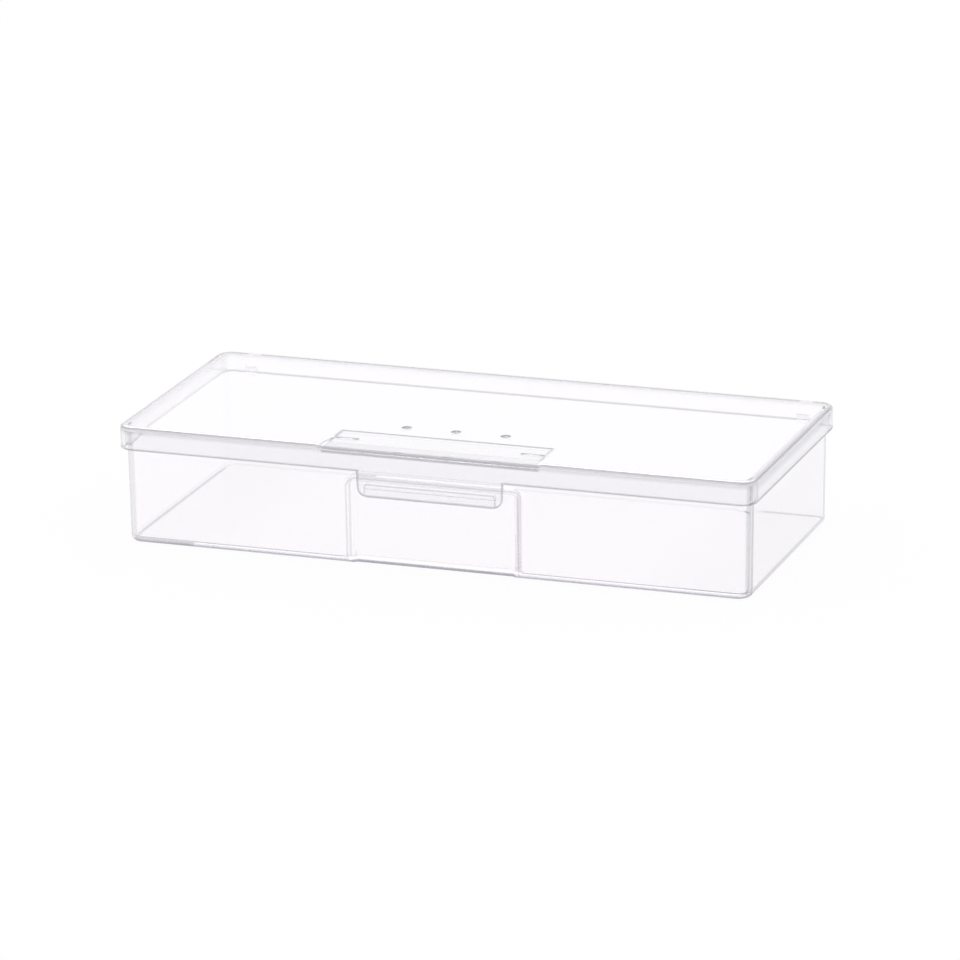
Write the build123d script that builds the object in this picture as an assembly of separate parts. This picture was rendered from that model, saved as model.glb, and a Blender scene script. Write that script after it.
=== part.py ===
from build123d import *
import math
import os

# Clear craft case: an open tray and a snap-shut lid hinged along the back.
# Origin: middle of the underside. +Z up, +X along the length, the latch faces -Y.

# Overall size, lid closed
case_length = 185.0
case_width = 81.0
case_height = 34.0

# Wall thicknesses
tray_wall = 1.2
tray_floor = 1.3
lid_wall = 1.2
lid_top = 1.3

# Lid outline and edges
lid_corner_radius = 4.5
lid_edge_radius = 1.0
lid_inner_radius = 0.4
skirt_depth = 6.8
skirt_edge_radius = 0.5

# Tray outline and edges
lid_gap = 0.25
tray_corner_radius = 4.5
tray_draft = 0.8
base_edge_radius = 1.5
floor_edge_radius = 0.8
rim_outer_radius = 0.45

# Thumb recess in the tray's front wall, open at the bottom
recess_side_room = 3.6
recess_ramp = 2.2
recess_depth = 2.4
recess_corner_radius = 2.0
recess_top_drop = 9.8

# Tongue hanging from the lid's front skirt over the recess
tongue_width = 42.8
tongue_taper = 0.5
tongue_drop = 13.8
tongue_thickness = 0.9
tongue_corner_radius = 2.6
lip_side_inset = 2.4
lip_height = 3.6
lip_thickness = 0.4
lip_corner_radius = 1.0
bead_side_inset = 2.4
bead_ledge_gap = 0.15
bead_slip = 0.08
bead_roundness = 1.5

# Grip strip on the lid: a shallow sloping recess that runs out over the front edge
strip_width = 61.4
strip_length = 15.3
strip_back_depth = 0.15
strip_crease_depth = 0.3
strip_front_depth = 0.45
strip_crease_inset = 4.3
strip_flare = 1.5
strip_flare_length = 8.0
dimple_length = 6.6
dimple_width = 1.6
dimple_depth = 0.2
dimple_inset = 8.6
dimple_end_inset = 3.7

# Vent holes through the lid
vent_diameter = 2.4
vent_pitch = 14.5
vent_inset = 22.6

# Snap hinge: hooks on the tray hold bars in windows of the lid's back skirt
hinge_end_inset = 9.5
hook_width = 3.2
hook_side_gap = 0.3
bar_clearance = 0.08
hook_wall = 0.72
hook_mouth = 0.9
window_clearance = 0.4

# Places worked out from the sizes above
rim_height = case_height - lid_top
skirt_bottom = case_height - skirt_depth
lid_front = case_width / 2
tray_length = case_length - 2 * (lid_wall + lid_gap)
tray_width = case_width - 2 * (lid_wall + lid_gap)
draft_slope = math.tan(math.radians(tray_draft))
ledge_height = case_height - recess_top_drop
tongue_bottom = case_height - tongue_drop
tongue_back = -lid_front + tongue_thickness
recess_width = tongue_width + 2 * recess_side_room
lip_width = tongue_width - 2 * lip_side_inset
bead_length = tongue_width - 2 * bead_side_inset
dimple_spread = strip_width / 2 - dimple_end_inset

# Hinge axis: the middle of the round lower edge of the lid's back skirt
bar_radius = lid_wall / 2
hinge_y = case_width / 2 - bar_radius
hinge_z = skirt_bottom + bar_radius
hinge_spread = case_length / 2 - hinge_end_inset
bore_radius = bar_radius + bar_clearance
hook_radius = bore_radius + hook_wall
window_width = hook_width + 2 * hook_side_gap
window_top = hinge_z + hook_radius + window_clearance


def tray_half_width_at(height):
    """Half the tray's outer width at a height; the walls lean out by the draft."""
    return tray_width / 2 - (rim_height - height) * draft_slope


def tapered_box(inset, bottom, top):
    """A rounded box with the tray's draft, its sides inset from the tray's outer faces."""
    narrowing = 2 * (inset + (rim_height - bottom) * draft_slope)
    radius = tray_corner_radius - narrowing / 2
    outline = Pos(0, 0, bottom) * RectangleRounded(
        tray_length - narrowing, tray_width - narrowing, radius
    )
    return extrude(outline, top - bottom, taper=-tray_draft)


def recess_block(growth):
    """The thumb recess as a solid; growth makes it larger by a wall all round."""
    front = -tray_width / 2
    half = recess_width / 2 + growth
    depth = recess_depth + growth
    reach = 4 * recess_depth
    spread = reach * recess_ramp / recess_depth
    top = ledge_height + growth
    plan = Polygon(
        (-half - spread, front - reach),
        (half + spread, front - reach),
        (half - recess_ramp, front + depth),
        (-half + recess_ramp, front + depth),
        align=None,
    )
    ramps = extrude(plan, top)
    face = RectangleRounded(2 * half, 2 * top, recess_corner_radius + growth)
    arch = extrude(Plane.XZ * face, reach + case_width, both=True)
    return ramps & arch


def hinge_hook(x):
    """One open hook on the tray's back wall, its mouth upwards, with its foot in the wall."""
    across = Plane.YZ.offset(x - hook_width / 2)
    centre = Pos(hinge_y, hinge_z)
    wall_face = tray_width / 2
    foot_depth = hinge_y - wall_face + tray_wall / 2
    foot_height = hook_radius
    foot = Pos(hinge_y - foot_depth / 2, hinge_z - foot_height / 2) * Rectangle(foot_depth, foot_height)
    mouth = Pos(hinge_y, hinge_z + hook_radius) * Rectangle(hook_mouth, 2 * hook_radius)
    profile = centre * Circle(hook_radius) + foot - centre * Circle(bore_radius) - mouth
    inside = Rectangle(2 * hook_radius, 4 * hook_radius)
    inside = Pos(hinge_y - foot_depth - hook_radius, hinge_z) * inside
    return extrude(across * (profile - inside), hook_width)


def loop_edges(shape, height):
    """The edges of a shape that lie flat at a height."""
    return shape.edges().filter_by_position(Axis.Z, height - 0.001, height + 0.001)


def make_tray():
    """The open tray with its thumb recess and hinge hooks."""
    outer = tapered_box(0, 0, rim_height)
    outer = fillet(loop_edges(outer, 0), base_edge_radius)
    outer = fillet(loop_edges(outer, rim_height), rim_outer_radius)
    hollow = tapered_box(tray_wall, tray_floor, rim_height) - recess_block(tray_wall)
    hollow = fillet(loop_edges(hollow, tray_floor), floor_edge_radius)
    tray = outer - hollow - recess_block(0)
    tray = tray + hinge_hook(-hinge_spread) + hinge_hook(hinge_spread)
    return tray


def lid_shell():
    """The lid's top and skirt, before the tongue, the grip strip and the hinge windows."""
    outline = RectangleRounded(case_length, case_width, lid_corner_radius)
    outer = extrude(Pos(0, 0, skirt_bottom) * outline, skirt_depth)
    outer = fillet(loop_edges(outer, case_height), lid_edge_radius)
    inner_outline = RectangleRounded(
        case_length - 2 * lid_wall, case_width - 2 * lid_wall, lid_corner_radius - lid_wall
    )
    hollow = extrude(Pos(0, 0, skirt_bottom) * inner_outline, rim_height - skirt_bottom)
    hollow = fillet(loop_edges(hollow, rim_height), lid_inner_radius)
    shell = outer - hollow
    return fillet(loop_edges(shell, skirt_bottom), skirt_edge_radius)


def tongue():
    """The front tongue: a thin plate with a grip lip outside and a snap bead inside."""
    root = skirt_bottom + lid_wall
    half = tongue_width / 2
    foot = half - tongue_taper
    plate = Polygon(
        (-half, root), (-foot, tongue_bottom), (foot, tongue_bottom), (half, root), align=None
    )
    plate = fillet(plate.vertices().group_by(Axis.Y)[0], tongue_corner_radius)
    front = Plane.XZ.offset(lid_front)
    solid = extrude(front * plate, -tongue_thickness)
    lip = Pos(0, tongue_bottom + lip_height / 2) * Rectangle(lip_width, lip_height)
    lip_solid = extrude(front * fillet(lip.vertices(), lip_corner_radius), lip_thickness)
    lip_solid = fillet(lip_solid.faces().sort_by(Axis.Y)[0].edges(), lip_thickness / 2)
    return solid + lip_solid + snap_bead()


def snap_bead():
    """The bead inside the tongue: under the tray's ledge, just clear of the wall above it."""
    height = -tray_half_width_at(ledge_height) - bead_slip - tongue_back
    radius = bead_roundness * height
    top = ledge_height - bead_ledge_gap
    round_bar = Pos(tongue_back + height - radius, top - radius) * Circle(radius)
    rooted = Rectangle(2 * radius, case_height)
    rooted = Pos(tongue_back - tongue_thickness / 2 + radius, ledge_height) * rooted
    return extrude(Plane.YZ.offset(-bead_length / 2) * (round_bar & rooted), bead_length)


def grip_strip():
    """What the grip strip takes off the lid: its sloping floor, flared ends and rounded front."""
    front = -lid_front
    floor = case_height - strip_front_depth
    with BuildPart() as slope:
        with BuildSketch(Plane.YZ):
            with BuildLine():
                back = (front + strip_length, case_height - strip_back_depth)
                crease = (front + strip_crease_inset, case_height - strip_crease_depth)
                turn = (front + lid_edge_radius, floor)
                Polyline((back[0], case_height + lid_top), back, crease, turn)
                RadiusArc(turn, (front, floor - lid_edge_radius), lid_edge_radius)
                Polyline(
                    (front, floor - lid_edge_radius),
                    (front - lid_wall, floor - lid_edge_radius),
                    (front - lid_wall, case_height + lid_top),
                    (back[0], case_height + lid_top),
                )
            make_face()
        extrude(amount=case_length / 2, both=True)
    with BuildPart() as outline:
        with BuildSketch():
            with BuildLine():
                half = strip_width / 2
                shoulder = front + strip_flare_length
                radius = (strip_flare_length ** 2 + strip_flare ** 2) / (2 * strip_flare)
                RadiusArc((-half, shoulder), (-half - strip_flare, front), -radius)
                Polyline((-half, shoulder), (-half, 0), (half, 0), (half, shoulder))
                RadiusArc((half, shoulder), (half + strip_flare, front), radius)
                Polyline(
                    (half + strip_flare, front),
                    (half + strip_flare, front - lid_wall),
                    (-half - strip_flare, front - lid_wall),
                    (-half - strip_flare, front),
                )
            make_face()
        extrude(amount=case_height + lid_top)
    return slope.part & outline.part


def dimple(x):
    """A small lens-shaped hollow near one end of the grip strip."""
    waist = (dimple_width ** 2 / 4 + dimple_depth ** 2) / (2 * dimple_depth)
    bow = (dimple_length ** 2 / 4) / (2 * dimple_depth)
    reach = math.sqrt(waist * (2 * bow - waist))
    with BuildPart() as lens:
        with BuildSketch():
            with BuildLine():
                ThreePointArc((-reach, 0), (0, waist), (reach, 0))
                Line((-reach, 0), (reach, 0))
            make_face()
        revolve(axis=Axis.X)
    surface = case_height - strip_back_depth
    return Pos(x, -lid_front + dimple_inset, surface + waist - dimple_depth) * lens.part


def hinge_window(x):
    """The window in the lid's back skirt that a tray hook reaches through."""
    depth = 3 * lid_wall
    height = window_top - skirt_bottom + lid_wall
    return Pos(x, hinge_y, window_top - height / 2) * Box(window_width, depth, height)


def hinge_bar(x):
    """The thin bar across a window, which the tray's hook holds."""
    length = window_width + lid_wall
    return Pos(x, hinge_y, hinge_z) * Rot(0, 90, 0) * Cylinder(bar_radius, length)


def make_lid():
    """The lid with its tongue, grip strip, vents and hinge bars."""
    lid = lid_shell() + tongue() - grip_strip()
    for side in (-1, 1):
        lid = lid - dimple(side * dimple_spread)
        lid = lid - hinge_window(side * hinge_spread) + hinge_bar(side * hinge_spread)
    for place in (-1, 0, 1):
        vent = Cylinder(vent_diameter / 2, 4 * lid_top)
        lid = lid - Pos(place * vent_pitch, -lid_front + vent_inset, case_height) * vent
    return lid


def main():
    os.makedirs("parts", exist_ok=True)
    export_step(make_tray(), "parts/tray.step")
    export_step(make_lid(), "parts/lid.step")


if __name__ == "__main__":
    main()
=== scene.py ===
import math

import bpy
import bmesh
from mathutils import Matrix, Vector

bl_info = {
    "name": "Clear Snap-Lid Case",
    "version": (1, 0, 0),
    "blender": (4, 5, 0),
    "location": "View3D > Sidebar > Clear Case",
    "description": "Finishes the clear hinged case and sets it in a plain white studio",
    "category": "Object",
}

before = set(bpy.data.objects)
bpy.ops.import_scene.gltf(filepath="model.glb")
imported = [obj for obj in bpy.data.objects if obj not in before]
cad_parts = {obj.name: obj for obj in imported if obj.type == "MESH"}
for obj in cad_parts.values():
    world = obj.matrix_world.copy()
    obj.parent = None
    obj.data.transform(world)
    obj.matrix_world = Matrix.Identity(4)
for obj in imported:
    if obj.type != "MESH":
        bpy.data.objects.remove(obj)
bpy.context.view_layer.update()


# ---------------------------------------------------------------- settings


class PlasticSettings(bpy.types.PropertyGroup):
    """The clear moulded plastic that both pieces are made of."""

    tint: bpy.props.FloatVectorProperty(
        name="Tint",
        description="Colour that one wall of the tray lets through, looked at straight on",
        subtype="COLOR",
        size=3,
        min=0.0,
        max=1.0,
        default=(0.9, 0.89, 0.902),
    )
    lid_tint: bpy.props.FloatVectorProperty(
        name="Lid tint",
        description="Colour that one wall of the lid lets through, looked at straight on",
        subtype="COLOR",
        size=3,
        min=0.0,
        max=1.0,
        default=(0.896, 0.894, 0.903),
    )
    depth_colour: bpy.props.FloatVectorProperty(
        name="Depth colour",
        description="Colour that the plastic turns along its thick edges",
        subtype="COLOR",
        size=3,
        min=0.0,
        max=1.0,
        default=(0.66, 0.65, 0.69),
    )
    depth_density: bpy.props.FloatProperty(
        name="Depth density",
        description="How fast the plastic takes on its depth colour, per metre",
        min=0.0,
        default=15.0,
    )
    bend: bpy.props.FloatProperty(
        name="Index of refraction",
        description="How strongly the plastic bends light",
        min=1.0,
        default=1.5,
    )
    polish: bpy.props.FloatProperty(
        name="Polish roughness",
        description="Roughness of the polished mould face",
        min=0.0,
        max=1.0,
        default=0.02,
    )
    # Painted glow: the plastic emits this colour, at the haze strength below, at every face, in
    # place of the light that its haze would scatter
    haze_glow_colour: bpy.props.FloatVectorProperty(
        name="Haze colour",
        description="Colour of the light that the faint haze in the plastic sends back",
        subtype="COLOR",
        size=3,
        min=0.0,
        max=1.0,
        default=(1.0, 0.97, 1.0),
    )
    haze: bpy.props.FloatProperty(
        name="Haze",
        description="How much light the haze sends back at each face",
        min=0.0,
        default=0.0495,
    )
    # Painted shade: the dark grey that the edge masks mix into the tint, and the reach of these
    # painted lines. They stand in for the dark lines that refraction and darker surroundings
    # draw along moulded edges
    edge_shade_colour: bpy.props.FloatVectorProperty(
        name="Edge colour",
        description="Colour that the moulded edges let through",
        subtype="COLOR",
        size=3,
        min=0.0,
        max=1.0,
        default=(0.31, 0.315, 0.335),
    )
    edge_width: bpy.props.FloatProperty(
        name="Edge width",
        description="Reach of the grey line on each side of a moulded edge",
        subtype="DISTANCE",
        min=0.0,
        default=0.00035,
    )
    ripple_height: bpy.props.FloatProperty(
        name="Ripple height",
        description="Height of the slow ripple that moulding leaves in flat walls",
        subtype="DISTANCE",
        min=0.0,
        default=0.00001,
    )
    ripple_size: bpy.props.FloatProperty(
        name="Ripple size",
        description="Distance from one ripple to the next",
        subtype="DISTANCE",
        min=0.001,
        default=0.03,
    )


class StageSettings(bpy.types.PropertyGroup):
    """The white studio and its camera."""

    azimuth: bpy.props.FloatProperty(
        name="Camera azimuth",
        description="Turn of the camera round the case, from straight in front",
        subtype="ANGLE",
        default=math.radians(19.46),
    )
    elevation: bpy.props.FloatProperty(
        name="Camera elevation",
        description="Height of the camera above the horizon",
        subtype="ANGLE",
        default=math.radians(17.12),
    )
    roll: bpy.props.FloatProperty(
        name="Camera roll",
        description="Tilt of the camera about its own line of sight",
        subtype="ANGLE",
        default=math.radians(-0.72),
    )
    distance: bpy.props.FloatProperty(
        name="Camera distance",
        description="Distance from the camera to the point it looks at",
        subtype="DISTANCE",
        min=0.1,
        default=1.717,
    )
    focal_length: bpy.props.FloatProperty(
        name="Focal length",
        description="Focal length of the lens, in millimetres",
        min=1.0,
        default=230.2,
    )
    white: bpy.props.FloatProperty(
        name="White",
        description="Brightness of the backdrop and the lit surroundings",
        min=0.0,
        default=1.0,
    )
    floor_glow: bpy.props.FloatProperty(
        name="Floor glow",
        description="Share of the floor's white that doesn't depend on the lamps",
        min=0.0,
        max=1.0,
        default=0.95,
    )
    lamp: bpy.props.FloatProperty(
        name="Overhead lamp",
        description="Extra brightness of the soft lamp overhead that the plastic mirrors",
        min=0.0,
        default=6.0,
    )
    dark: bpy.props.FloatProperty(
        name="Dark side",
        description="Brightness of the dark cloth behind the camera, as the plastic shows it",
        min=0.0,
        default=0.55,
    )


# ---------------------------------------------------------------- node helpers

# A Mix node has inputs of each kind under the same names, so they are picked by place
MIX_FACTOR = 0
MIX_NUMBERS = (2, 3)
MIX_NUMBER_OUT = 0
MIX_COLOURS = (6, 7)
MIX_COLOUR_OUT = 2


def feed(tree, socket, value):
    """Links an input socket to an output socket, or sets it to a plain value."""
    if isinstance(value, bpy.types.NodeSocket):
        tree.links.new(value, socket)
    else:
        socket.default_value = value


def feed_inputs(tree, made, values):
    """Feeds a node's inputs by name, with blanks as underscores."""
    for name, value in values.items():
        feed(tree, made.inputs[name.replace("_", " ")], value)


def node(tree, kind, **values):
    """Adds a node and feeds its inputs."""
    made = tree.nodes.new(kind)
    feed_inputs(tree, made, values)
    return made


def use_group(tree, group, **values):
    """Places a group in a tree and feeds its inputs."""
    made = tree.nodes.new("ShaderNodeGroup")
    made.node_tree = group
    feed_inputs(tree, made, values)
    return made


def math_node(tree, operation, *values):
    """The output of a Math node; each value is a socket or a plain number."""
    made = tree.nodes.new("ShaderNodeMath")
    made.operation = operation
    for place, value in enumerate(values):
        feed(tree, made.inputs[place], value)
    return made.outputs[0]


def times(tree, product, *factors):
    """The product of several values."""
    for factor in factors:
        product = math_node(tree, "MULTIPLY", product, factor)
    return product


def strongest(tree, most, *masks):
    """The largest of several masks."""
    for mask in masks:
        most = math_node(tree, "MAXIMUM", most, mask)
    return most


def soft_step(tree, value, start, end, most=1.0, least=0.0):
    """A smooth step from least at start to most at end."""
    step = node(
        tree,
        "ShaderNodeMapRange",
        Value=value,
        From_Min=start,
        From_Max=end,
        To_Min=least,
        To_Max=most,
    )
    step.interpolation_type = "SMOOTHSTEP"
    return step.outputs[0]


def object_place(tree):
    """The sockets of a point's X, Y and Z on the piece."""
    place = tree.nodes.new("ShaderNodeTexCoord").outputs["Object"]
    parts = node(tree, "ShaderNodeSeparateXYZ", Vector=place)
    return parts.outputs["X"], parts.outputs["Y"], parts.outputs["Z"]


def empty_tree(owner, output_kind):
    """Clears the nodes of a material or world; gives its tree and a new output node."""
    owner.use_nodes = True
    tree = owner.node_tree
    tree.nodes.clear()
    return tree, tree.nodes.new(output_kind)


# ---------------------------------------------------------------- node groups

NUMBER = "NodeSocketFloat"
VECTOR = "NodeSocketVector"

# The power that gathers the fine haze into patches
HAZE_CONTRAST = 3.0

# The share of its width over which a line is full
LINE_CORE = 0.4


def new_group(name, inputs, outputs):
    """A shader node group; gives the group, the sockets it starts from and its end.

    inputs holds each number's default, and outputs each socket's kind.
    """
    group = bpy.data.node_groups.new(name, "ShaderNodeTree")
    for title, default in inputs.items():
        socket = group.interface.new_socket(title, in_out="INPUT", socket_type=NUMBER)
        socket.default_value = default
    for title, kind in outputs.items():
        group.interface.new_socket(title, in_out="OUTPUT", socket_type=kind)
    start = group.nodes.new("NodeGroupInput")
    end = group.nodes.new("NodeGroupOutput")
    return group, start.outputs, end.inputs


def wall_group():
    """The slow ripple and the fine haze of a moulded clear wall."""
    name = "Moulded clear wall"
    if name in bpy.data.node_groups:
        return bpy.data.node_groups[name]
    inputs = {"Ripple Height": 0.0, "Ripple Size": 0.03, "Polish": 0.02}
    group, start, end = new_group(name, inputs, {"Roughness": NUMBER, "Normal": VECTOR})
    place = group.nodes.new("ShaderNodeTexCoord").outputs["Object"]

    scale = math_node(group, "DIVIDE", 1.0, start["Ripple Size"])
    waves = node(
        group, "ShaderNodeTexNoise", Vector=place, Scale=scale, Detail=1.0, Roughness=0.4
    )
    bump = node(
        group,
        "ShaderNodeBump",
        Strength=1.0,
        Distance=start["Ripple Height"],
        Height=waves.outputs[0],
    )
    feed(group, end["Normal"], bump.outputs["Normal"])

    cloud = node(
        group, "ShaderNodeTexNoise", Vector=place, Scale=220.0, Detail=3.0, Roughness=0.6
    )
    patches = math_node(group, "POWER", cloud.outputs[0], HAZE_CONTRAST)
    extra = times(group, patches, start["Polish"])
    feed(group, end["Roughness"], math_node(group, "ADD", extra, start["Polish"]))
    return group


def outline_group():
    """The distance from a point to the outline of a rounded rectangle about the middle."""
    name = "Rounded outline"
    if name in bpy.data.node_groups:
        return bpy.data.node_groups[name]
    inputs = {"Across": 0.0, "Up": 0.0, "Half Width": 0.01, "Half Height": 0.01, "Corner": 0.0}
    group, start, end = new_group(name, inputs, {"Distance": NUMBER})
    corner = start["Corner"]
    overs = []
    for along, half in (("Across", "Half Width"), ("Up", "Half Height")):
        size = math_node(group, "ABSOLUTE", start[along])
        over = math_node(group, "SUBTRACT", size, start[half])
        overs.append(math_node(group, "ADD", over, corner))
    outside = [math_node(group, "MAXIMUM", over, 0.0) for over in overs]
    squares = [math_node(group, "MULTIPLY", side, side) for side in outside]
    reach = math_node(group, "SQRT", math_node(group, "ADD", *squares))
    inside = math_node(group, "MINIMUM", math_node(group, "MAXIMUM", *overs), 0.0)
    to_rounded = math_node(group, "ADD", reach, inside)
    feed(group, end["Distance"], math_node(group, "SUBTRACT", to_rounded, corner))
    return group


def line_group():
    """A soft line where a distance is zero: 1 along its middle, 0 beyond its width."""
    name = "Edge line"
    if name in bpy.data.node_groups:
        return bpy.data.node_groups[name]
    inputs = {"Distance": 0.0, "Width": 0.0003}
    group, start, end = new_group(name, inputs, {"Line": NUMBER})
    away = math_node(group, "ABSOLUTE", start["Distance"])
    share = math_node(group, "DIVIDE", away, start["Width"])
    feed(group, end["Line"], soft_step(group, share, 1.0, LINE_CORE))
    return group


# ---------------------------------------------------------------- painted edge shade masks
#
# Distances are measured from the middle of the closed case's base: X to the right,
# Y to the back and Z up. A mask of 0 leaves the plastic's own tint, and 1 gives the
# full edge shade colour. The masks paint shade: dark lines and bands that stand in for
# what refraction and darker surroundings show along the moulded edges.

MM = 0.001

CASE_FRONT = -40.5 * MM
CASE_TOP = 34.0 * MM
TOP_ROUND = 0.8 * MM
SKIRT_BOTTOM = 27.2 * MM
TRAY_SLOPE = math.tan(math.radians(0.8))

# Heights of the middles of the outlines on the case's front
TONGUE_HEIGHT = 26.2 * MM
LIP_HEIGHT = 22.0 * MM
NOSE_HEIGHT = 32.7 * MM

# How far behind the case's front the masks of its front features stop
RECESS_DEPTH = 6.0 * MM
TONGUE_DEPTH = 5.0 * MM
NOSE_DEPTH = 1.5 * MM

# Places of the hollows and vents on the top, with rows counted from the case's front
HOLLOW_ROW = 9.0 * MM
HOLLOW_SIDE = 27.0 * MM
VENT_ROW = 22.6 * MM
VENT_STEP = 14.5 * MM
VENT_END = 20.0 * MM

# Whole steps added to X, which keep the vents' pattern above zero
VENT_SHIFT = 10 * VENT_STEP

# Half width, half height and corner radius of each outline, in millimetres
OUTLINES = {
    "case": (92.5, 40.5, 4.5),
    "tray foot": (89.1, 37.1, 2.5),
    "thumb recess": (25.0, 24.2, 2.0),
    "tongue": (21.2, 6.0, 2.6),
    "grip lip": (19.0, 1.8, 1.0),
    "grip strip": (30.7, 15.3, 0.1),
    "nose": (31.5, 0.75, 0.3),
    "vent": (1.2, 1.2, 1.2),
    "hollow": (3.4, 0.6, 0.5),
}

# Reach of each line on either side of its edge, in edge widths
REACH = {
    "front base": 3.4,
    "side base": 1.8,
    "thumb recess": 1.0,
    "skirt": 1.5,
    "grip lip": 0.6,
    "grip strip": 2.0,
    "top edge": 1.3,
}
SKIRT_INSET = 0.5

# The hem's reach, and how far it and the top edge's line stand in from their edges
HEM_REACH = 0.6 * MM
HEM_INSET = 0.5 * MM
TOP_EDGE_INSET = 0.4 * MM

# Strength of each mask, or the least of one that a fade adds to
STRENGTH = {
    "side base": 0.3,
    "thumb recess": 0.5,
    "rear corner": 0.12,
    "tray end wall": 0.19,
    "skirt": 0.7,
    "grip lip": 0.6,
    "grip strip": 0.85,
    "grip": 0.05,
    "lid end wall": 0.17,
    "hem": 0.95,
    "top edge": 0.9,
}

# Where each fade starts and ends, in millimetres, and how strong it is at its end
FADES = {
    # the tray
    "front base": (-33.0, -36.0, 1.15),
    "side base": (36.0, 30.0, 0.7),
    "right base": (68.0, 72.0, 1.4),
    "flank": (89.1, 89.6, 1.0),
    "right half": (0.0, 10.0, 0.8),
    "front corner": (-34.0, -35.0, 0.65),
    "rear corner": (34.0, 35.0, 1.0),
    "below skirt": (27.2, 26.8, 1.0),
    "floor ends": (50.0, 80.0, 0.06),
    "floor": (1.6, 1.4, 1.0),
    # the lid's skirt and tongue
    "rear skirt": (30.0, 34.0, 0.5),
    "tongue root": (24.6, 25.2, 1.0),
    "tongue top": (27.2, 26.8, 0.26),
    "tongue middle": (20.8, 20.4, 1.0),
    # the grip strip
    "strip top": (32.9, 33.1, 1.0),
    "grip front": (5.8, 3.6, 0.7),
    "grip inside": (0.1, 0.0, 1.0),
    "nose": (0.3, 0.0, 0.8),
    # the lid's walls and the rounds along its top
    "outer wall": (-1.5, -1.3, 1.0),
    "shoulder": (31.0, 33.0, 0.45),
    "crown": (33.7, 33.2, 1.0),
    "wall fill": (38.0, 34.0, 0.1),
    "lid end wall": (90.9, 91.2, 1.0),
    "end wall rise": (29.6, 32.2, 0.33),
    "band inside": (-2.2, -1.8, 1.0),
    "band outside": (-0.2, -0.5, 0.6),
    "band top": (33.1, 33.4, 1.0),
    "band rear": (35.0, 38.0, 1.0),
    "corner turn": (91.8, 92.1, 0.5),
    "corner ends": (35.0, 36.0, 1.0),
    # the vents and hollows
    "vent": (0.4, 0.28, 1.0),
    "vent top": (33.4, 33.7, 1.2),
    "hollow": (0.3, 0.0, 1.3),
}


def outline(tree, across, up, name):
    """The distance to one of the OUTLINES, below zero inside it."""
    half_width, half_height, corner = OUTLINES[name]
    made = use_group(
        tree,
        outline_group(),
        Across=across,
        Up=up,
        Half_Width=half_width * MM,
        Half_Height=half_height * MM,
        Corner=corner * MM,
    )
    return made.outputs["Distance"]


def edge_line(tree, distance, reach):
    """A soft line where a distance is zero."""
    return use_group(tree, line_group(), Distance=distance, Width=reach).outputs["Line"]


def fade(tree, value, name):
    """The soft step of one of the FADES."""
    start, end, most = FADES[name]
    return soft_step(tree, value, start * MM, end * MM, most)


def behind_front(tree, y, depth):
    """The distance behind the plane that stands at a depth behind the case's front."""
    return math_node(tree, "SUBTRACT", y, CASE_FRONT + depth)


def below_round(tree, z):
    """The distance below the start of the round along the lid's top."""
    return math_node(tree, "SUBTRACT", CASE_TOP - TOP_ROUND, z)


def tray_painted_shade(tree, settings):
    """Painted shade: grey lines along the tray's base, round its thumb recess and down its
    corners, stronger on the right, with a shade on its right end wall and low near the ends of
    its floor.
    """
    x, y, z = object_place(tree)
    width = settings.edge_width
    side = math_node(tree, "ABSOLUTE", x)

    within_foot = times(tree, outline(tree, x, y, "tray foot"), -1.0)
    base = math_node(tree, "MAXIMUM", within_foot, z)
    front_base = edge_line(tree, base, REACH["front base"] * width)
    front_base = times(tree, front_base, fade(tree, y, "front base"))
    ahead = math_node(tree, "ADD", fade(tree, y, "side base"), STRENGTH["side base"])
    # The painted base line grows stronger towards the right end
    ahead = math_node(tree, "MAXIMUM", ahead, fade(tree, x, "right base"))
    side_base = times(tree, edge_line(tree, base, REACH["side base"] * width), ahead)

    arch = outline(tree, x, z, "thumb recess")
    arch = math_node(tree, "MAXIMUM", arch, behind_front(tree, y, RECESS_DEPTH))
    recess = edge_line(tree, arch, REACH["thumb recess"] * width)
    recess = times(tree, recess, STRENGTH["thumb recess"])

    lean = times(tree, z, -TRAY_SLOPE)
    flank = fade(tree, math_node(tree, "ADD", side, lean), "flank")
    # The painted corner lines and the end wall's painted shade are stronger on the right half
    right = fade(tree, x, "right half")
    rear = math_node(tree, "ADD", right, STRENGTH["rear corner"])
    rear = times(tree, rear, fade(tree, y, "rear corner"))
    near = fade(tree, y, "front corner")
    corner = times(tree, flank, math_node(tree, "ADD", near, rear))
    end = times(tree, flank, right, STRENGTH["tray end wall"], fade(tree, z, "below skirt"))

    # A faint painted shade low on the tray towards its ends
    floor = times(tree, fade(tree, side, "floor ends"), fade(tree, z, "floor"))
    return strongest(tree, front_base, side_base, recess, corner, end, floor)


def skirt_masks(tree, place, width):
    """Painted shade: the lines of the lid's skirt and tongue, stronger at the rear, a shade over
    the tongue's root and a line round its lip.
    """
    x, y, z = place
    below = math_node(tree, "SUBTRACT", SKIRT_BOTTOM, z)
    behind = behind_front(tree, y, TONGUE_DEPTH)
    tongue = outline(tree, x, math_node(tree, "SUBTRACT", z, TONGUE_HEIGHT), "tongue")
    tongue = math_node(tree, "MAXIMUM", tongue, behind)
    hanging = math_node(tree, "MINIMUM", below, tongue)
    inset = math_node(tree, "ADD", hanging, SKIRT_INSET * width)
    rear = math_node(tree, "ADD", fade(tree, y, "rear skirt"), STRENGTH["skirt"])
    skirt = times(tree, edge_line(tree, inset, REACH["skirt"] * width), rear)

    middle = fade(tree, math_node(tree, "ABSOLUTE", x), "tongue middle")
    root = times(tree, fade(tree, z, "tongue root"), fade(tree, z, "tongue top"), middle)

    lip = outline(tree, x, math_node(tree, "SUBTRACT", z, LIP_HEIGHT), "grip lip")
    lip = math_node(tree, "MAXIMUM", lip, behind)
    lip = edge_line(tree, lip, REACH["grip lip"] * width)
    return skirt, root, times(tree, lip, STRENGTH["grip lip"])


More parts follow.
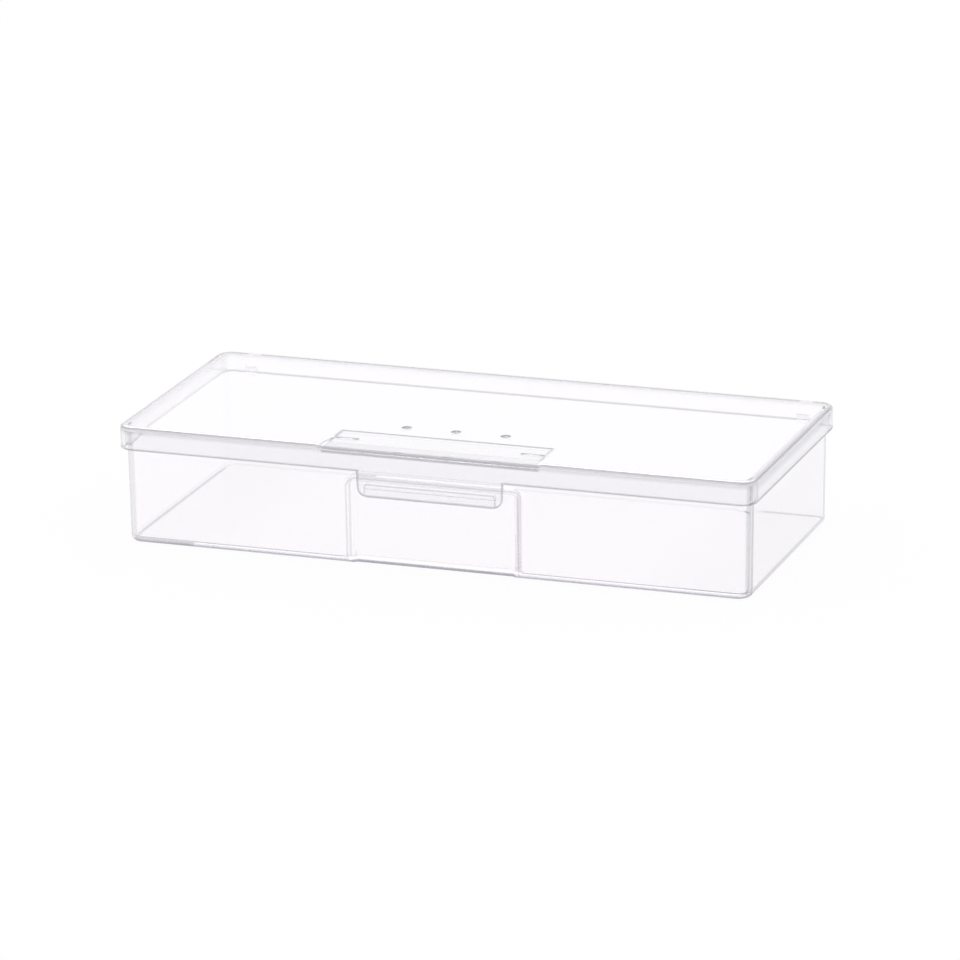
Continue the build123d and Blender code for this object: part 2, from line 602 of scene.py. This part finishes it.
def strip_masks(tree, place, width):
    """Painted shade: the grip strip's outline, a shade inside it that grows towards its front,
    and its nose.
    """
    x, y, z = place
    behind = behind_front(tree, y, 0.0)
    edge = outline(tree, x, behind, "grip strip")
    on_top = fade(tree, z, "strip top")
    strip = edge_line(tree, edge, REACH["grip strip"] * width)
    strip = times(tree, strip, STRENGTH["grip strip"], on_top)
    grip = math_node(tree, "ADD", fade(tree, behind, "grip front"), STRENGTH["grip"])
    grip = times(tree, grip, fade(tree, edge, "grip inside"), on_top)

    nose = outline(tree, x, math_node(tree, "SUBTRACT", z, NOSE_HEIGHT), "nose")
    nose = math_node(tree, "MAXIMUM", nose, behind_front(tree, y, NOSE_DEPTH))
    return strip, grip, fade(tree, nose, "nose")


def vent_mask(tree, place):
    """Painted shade round the three vents: the outline repeats along the row and stops at the
    row's end.
    """
    x, y, z = place
    half_step = 0.5 * VENT_STEP
    along = math_node(tree, "ADD", x, half_step + VENT_SHIFT)
    along = math_node(tree, "PINGPONG", along, half_step)
    along = math_node(tree, "SUBTRACT", along, half_step)
    vent = outline(tree, along, behind_front(tree, y, VENT_ROW), "vent")
    beyond = math_node(tree, "SUBTRACT", math_node(tree, "ABSOLUTE", x), VENT_END)
    vent = math_node(tree, "MAXIMUM", vent, beyond)
    return times(tree, fade(tree, vent, "vent"), fade(tree, z, "vent top"))


def hollow_mask(tree, place):
    """Painted shade: dark streaks at the two lens-shaped hollows in the grip strip."""
    x, y, z = place
    across = math_node(tree, "SUBTRACT", math_node(tree, "ABSOLUTE", x), HOLLOW_SIDE)
    hollow = outline(tree, across, behind_front(tree, y, HOLLOW_ROW), "hollow")
    return fade(tree, math_node(tree, "MAXIMUM", hollow, below_round(tree, z)), "hollow")


def wall_masks(tree, place, width):
    """Painted shade: darker outer walls, shoulders, end walls and corners, a band along the
    top's rear edge, and lines along its hem and round its top.
    """
    x, y, z = place
    side = math_node(tree, "ABSOLUTE", x)
    rim = outline(tree, x, y, "case")
    wall = fade(tree, rim, "outer wall")
    shoulder = times(tree, fade(tree, z, "shoulder"), fade(tree, z, "crown"), wall)
    fill = times(tree, wall, fade(tree, y, "wall fill"))

    end_wall = fade(tree, side, "lid end wall")
    rise = math_node(tree, "ADD", fade(tree, z, "end wall rise"), STRENGTH["lid end wall"])
    ends = times(tree, rise, end_wall)
    hem = math_node(tree, "SUBTRACT", SKIRT_BOTTOM, z)
    hem = edge_line(tree, math_node(tree, "ADD", hem, HEM_INSET), HEM_REACH)
    hem = times(tree, hem, end_wall, STRENGTH["hem"])

    crest = math_node(tree, "ADD", rim, TOP_EDGE_INSET)
    crest = math_node(tree, "MAXIMUM", crest, below_round(tree, z))
    crest = edge_line(tree, crest, REACH["top edge"] * width)
    crest = times(tree, crest, STRENGTH["top edge"])
    band = times(
        tree,
        fade(tree, rim, "band inside"),
        fade(tree, rim, "band outside"),
        fade(tree, z, "band top"),
        fade(tree, y, "band rear"),
    )
    corner = fade(tree, math_node(tree, "ABSOLUTE", y), "corner ends")
    turn = times(tree, fade(tree, side, "corner turn"), corner)
    return shoulder, fill, ends, hem, crest, band, turn


def lid_painted_shade(tree, settings):
    """Painted shade: grey lines and shades along the lid's skirt, tongue, lip, grip strip,
    vents, hollows and walls.
    """
    place = object_place(tree)
    width = settings.edge_width
    return strongest(
        tree,
        *skirt_masks(tree, place, width),
        *strip_masks(tree, place, width),
        vent_mask(tree, place),
        hollow_mask(tree, place),
        *wall_masks(tree, place, width),
    )


# ---------------------------------------------------------------- pieces


def clear_plastic(name, settings, tint, edges):
    """Clear plastic with a faint painted glow in place of the light its haze scatters; edges
    draws the painted shade masks of the piece's moulded edges in its tree.
    """
    material = bpy.data.materials.new(name)
    tree, output = empty_tree(material, "ShaderNodeOutputMaterial")
    wall = use_group(
        tree,
        wall_group(),
        Ripple_Height=settings.ripple_height,
        Ripple_Size=settings.ripple_size,
        Polish=settings.polish,
    )
    # Painted shade: the masks mix the plastic's tint towards the dark edge shade colour
    colour = tree.nodes.new("ShaderNodeMix")
    colour.data_type = "RGBA"
    colour.clamp_factor = False
    feed(tree, colour.inputs[MIX_FACTOR], edges(tree, settings))
    for place, value in zip(MIX_COLOURS, (tint, settings.edge_shade_colour)):
        feed(tree, colour.inputs[place], (*value, 1.0))
    shader = node(
        tree,
        "ShaderNodeBsdfPrincipled",
        Base_Color=colour.outputs[MIX_COLOUR_OUT],
        Metallic=0.0,
        Roughness=wall.outputs["Roughness"],
        IOR=settings.bend,
        Normal=wall.outputs["Normal"],
        Transmission_Weight=1.0,
        # Painted glow: the plastic emits the haze colour at every face
        Emission_Color=(*settings.haze_glow_colour, 1.0),
        Emission_Strength=settings.haze,
    )
    depth = node(
        tree,
        "ShaderNodeVolumeAbsorption",
        Color=(*settings.depth_colour, 1.0),
        Density=settings.depth_density,
    )
    feed(tree, output.inputs["Surface"], shader.outputs[0])
    feed(tree, output.inputs["Volume"], depth.outputs[0])
    return material


def wear(name, material):
    """Gives a CAD node its material in every slot."""
    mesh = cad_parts[name].data
    for place in range(len(mesh.materials)):
        mesh.materials[place] = material


class CASE_OT_tray(bpy.types.Operator):
    """Finishes the tray in clear plastic"""

    bl_idname = "case.tray"
    bl_label = "Tray"

    def execute(self, context):
        settings = context.scene.case_plastic
        wear("tray", clear_plastic("Clear plastic, tray", settings, settings.tint, tray_painted_shade))
        return {"FINISHED"}


class CASE_OT_lid(bpy.types.Operator):
    """Finishes the lid in clear plastic"""

    bl_idname = "case.lid"
    bl_label = "Lid"

    def execute(self, context):
        settings = context.scene.case_plastic
        wear("lid", clear_plastic("Clear plastic, lid", settings, settings.lid_tint, lid_painted_shade))
        return {"FINISHED"}


# ---------------------------------------------------------------- stage

PURE_WHITE = (1.0, 1.0, 1.0, 1.0)

# Half the floor's side, and how far the floor lies below the case's base
FLOOR_HALF = 6.0
FLOOR_DROP = 0.00005

# The studio goes from dark to white between these values of a direction's Y
DARK_FROM = -0.35
WHITE_FROM = 0.35

# The lamp's direction, and the cosines of the angles at its edge and where it is full
LAMP_DIRECTION = Vector((-0.25, 0.62, 0.74)).normalized()
LAMP_EDGE = 0.88
LAMP_CORE = 0.95

# The point that the camera looks at, and how far it is moved aside and down in the view
AIM = Vector((0.0, 0.0, 0.017))
AIM_RIGHT = 0.00047
AIM_DOWN = 0.00208

# The camera's sensor width in millimetres, and the nearest and farthest that it sees
SENSOR_WIDTH = 36.0
CLIP_START = 0.05
CLIP_END = 50.0

# Every face of clear plastic that light passes counts as a bounce
BOUNCES = 32
GLOSSY_BOUNCES = 16


def seen_rays(tree):
    """1 for the rays that show the background: from the camera, a mirror or clear plastic."""
    path = tree.nodes.new("ShaderNodeLightPath")
    return strongest(
        tree,
        path.outputs["Is Camera Ray"],
        path.outputs["Is Glossy Ray"],
        path.outputs["Is Transmission Ray"],
    )


def floor_material(settings):
    """A white floor that glows for the rays that show it, and keeps the case's shadow."""
    material = bpy.data.materials.new("White floor")
    tree, output = empty_tree(material, "ShaderNodeOutputMaterial")
    own = 1.0 - settings.floor_glow
    matte = node(tree, "ShaderNodeBsdfDiffuse", Color=(own, own, own, 1.0))
    strength = times(tree, seen_rays(tree), settings.floor_glow * settings.white)
    glow = node(tree, "ShaderNodeEmission", Color=PURE_WHITE, Strength=strength)
    both = tree.nodes.new("ShaderNodeAddShader")
    feed(tree, both.inputs[0], matte.outputs[0])
    feed(tree, both.inputs[1], glow.outputs[0])
    feed(tree, output.inputs["Surface"], both.outputs[0])
    return material


def make_floor(settings):
    """A wide square floor just under the case."""
    mesh = bpy.data.meshes.new("floor")
    shape = bmesh.new()
    bmesh.ops.create_grid(shape, x_segments=1, y_segments=1, size=FLOOR_HALF)
    bmesh.ops.translate(shape, verts=shape.verts, vec=(0.0, 0.0, -FLOOR_DROP))
    shape.to_mesh(mesh)
    shape.free()
    floor = bpy.data.objects.new("floor", mesh)
    bpy.context.scene.collection.objects.link(floor)
    mesh.materials.append(floor_material(settings))


def make_world(settings):
    """A white studio; the plastic also sees a darker front side and mirrors a lamp overhead."""
    world = bpy.data.worlds.new("White studio")
    bpy.context.scene.world = world
    tree, output = empty_tree(world, "ShaderNodeOutputWorld")
    direction = tree.nodes.new("ShaderNodeTexCoord").outputs["Generated"]
    parts = node(tree, "ShaderNodeSeparateXYZ", Vector=direction)
    studio = soft_step(
        tree, parts.outputs["Y"], DARK_FROM, WHITE_FROM, most=settings.white, least=settings.dark
    )
    towards = tree.nodes.new("ShaderNodeVectorMath")
    towards.operation = "DOT_PRODUCT"
    feed(tree, towards.inputs[0], direction)
    feed(tree, towards.inputs[1], LAMP_DIRECTION)
    lamp = soft_step(tree, towards.outputs["Value"], LAMP_EDGE, LAMP_CORE, settings.lamp)

    path = tree.nodes.new("ShaderNodeLightPath")
    mirrored_ray = path.outputs["Is Glossy Ray"]
    bent_ray = path.outputs["Is Transmission Ray"]
    mirrored = times(tree, lamp, math_node(tree, "GREATER_THAN", mirrored_ray, bent_ray))
    mix = tree.nodes.new("ShaderNodeMix")
    mix.data_type = "FLOAT"
    feed(tree, mix.inputs[MIX_FACTOR], strongest(tree, mirrored_ray, bent_ray))
    plain, shown = MIX_NUMBERS
    feed(tree, mix.inputs[plain], settings.white)
    feed(tree, mix.inputs[shown], math_node(tree, "ADD", studio, mirrored))
    strength = mix.outputs[MIX_NUMBER_OUT]
    background = node(tree, "ShaderNodeBackground", Color=PURE_WHITE, Strength=strength)
    feed(tree, output.inputs["Surface"], background.outputs[0])


def make_camera(settings):
    """A camera at the settings' angle, looking at the middle of the closed case."""
    turn, rise, lean = settings.azimuth, settings.elevation, settings.roll
    level = math.cos(rise)
    forward = Vector((-math.sin(turn) * level, math.cos(turn) * level, -math.sin(rise)))
    right = Vector((math.cos(turn), math.sin(turn), 0.0))
    up = right.cross(forward)
    across = right * math.cos(lean) + up * math.sin(lean)
    upright = up * math.cos(lean) - right * math.sin(lean)
    aim = AIM + AIM_RIGHT * right - AIM_DOWN * up
    place = aim - forward * settings.distance
    axes = Matrix((across, upright, -forward)).transposed().to_4x4()
    data = bpy.data.cameras.new("camera")
    data.sensor_width = SENSOR_WIDTH
    data.lens = settings.focal_length
    data.clip_start = CLIP_START
    data.clip_end = CLIP_END
    camera = bpy.data.objects.new("camera", data)
    camera.matrix_world = Matrix.Translation(place) @ axes
    bpy.context.scene.collection.objects.link(camera)
    bpy.context.scene.camera = camera


class CASE_OT_stage(bpy.types.Operator):
    """Sets the white floor, the studio light and the camera"""

    bl_idname = "case.stage"
    bl_label = "Stage"

    def execute(self, context):
        scene = context.scene
        settings = scene.case_stage
        make_floor(settings)
        make_world(settings)
        make_camera(settings)
        scene.view_settings.view_transform = "Standard"
        scene.cycles.max_bounces = BOUNCES
        scene.cycles.transmission_bounces = BOUNCES
        scene.cycles.glossy_bounces = GLOSSY_BOUNCES
        return {"FINISHED"}


# ---------------------------------------------------------------- panel and registration


class CASE_PT_panel(bpy.types.Panel):
    """Lists the case's pieces and settings"""

    bl_idname = "CASE_PT_panel"
    bl_label = "Clear case"
    bl_space_type = "VIEW_3D"
    bl_region_type = "UI"
    bl_category = "Clear Case"

    def draw(self, context):
        layout = self.layout
        for operator in (CASE_OT_tray, CASE_OT_lid, CASE_OT_stage):
            layout.operator(operator.bl_idname)
        for group in (context.scene.case_plastic, context.scene.case_stage):
            column = layout.column()
            for name in group.__annotations__:
                column.prop(group, name)


CLASSES = (
    PlasticSettings,
    StageSettings,
    CASE_OT_tray,
    CASE_OT_lid,
    CASE_OT_stage,
    CASE_PT_panel,
)


def register():
    """Registers the classes and puts the settings on the scene."""
    for cls in CLASSES:
        bpy.utils.register_class(cls)
    bpy.types.Scene.case_plastic = bpy.props.PointerProperty(type=PlasticSettings)
    bpy.types.Scene.case_stage = bpy.props.PointerProperty(type=StageSettings)


def unregister():
    """Takes the settings off the scene and unregisters the classes."""
    del bpy.types.Scene.case_stage
    del bpy.types.Scene.case_plastic
    for cls in reversed(CLASSES):
        bpy.utils.unregister_class(cls)


def main():
    """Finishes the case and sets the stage."""
    register()
    bpy.ops.case.tray()
    bpy.ops.case.lid()
    bpy.ops.case.stage()


if __name__ == "__main__":
    main()
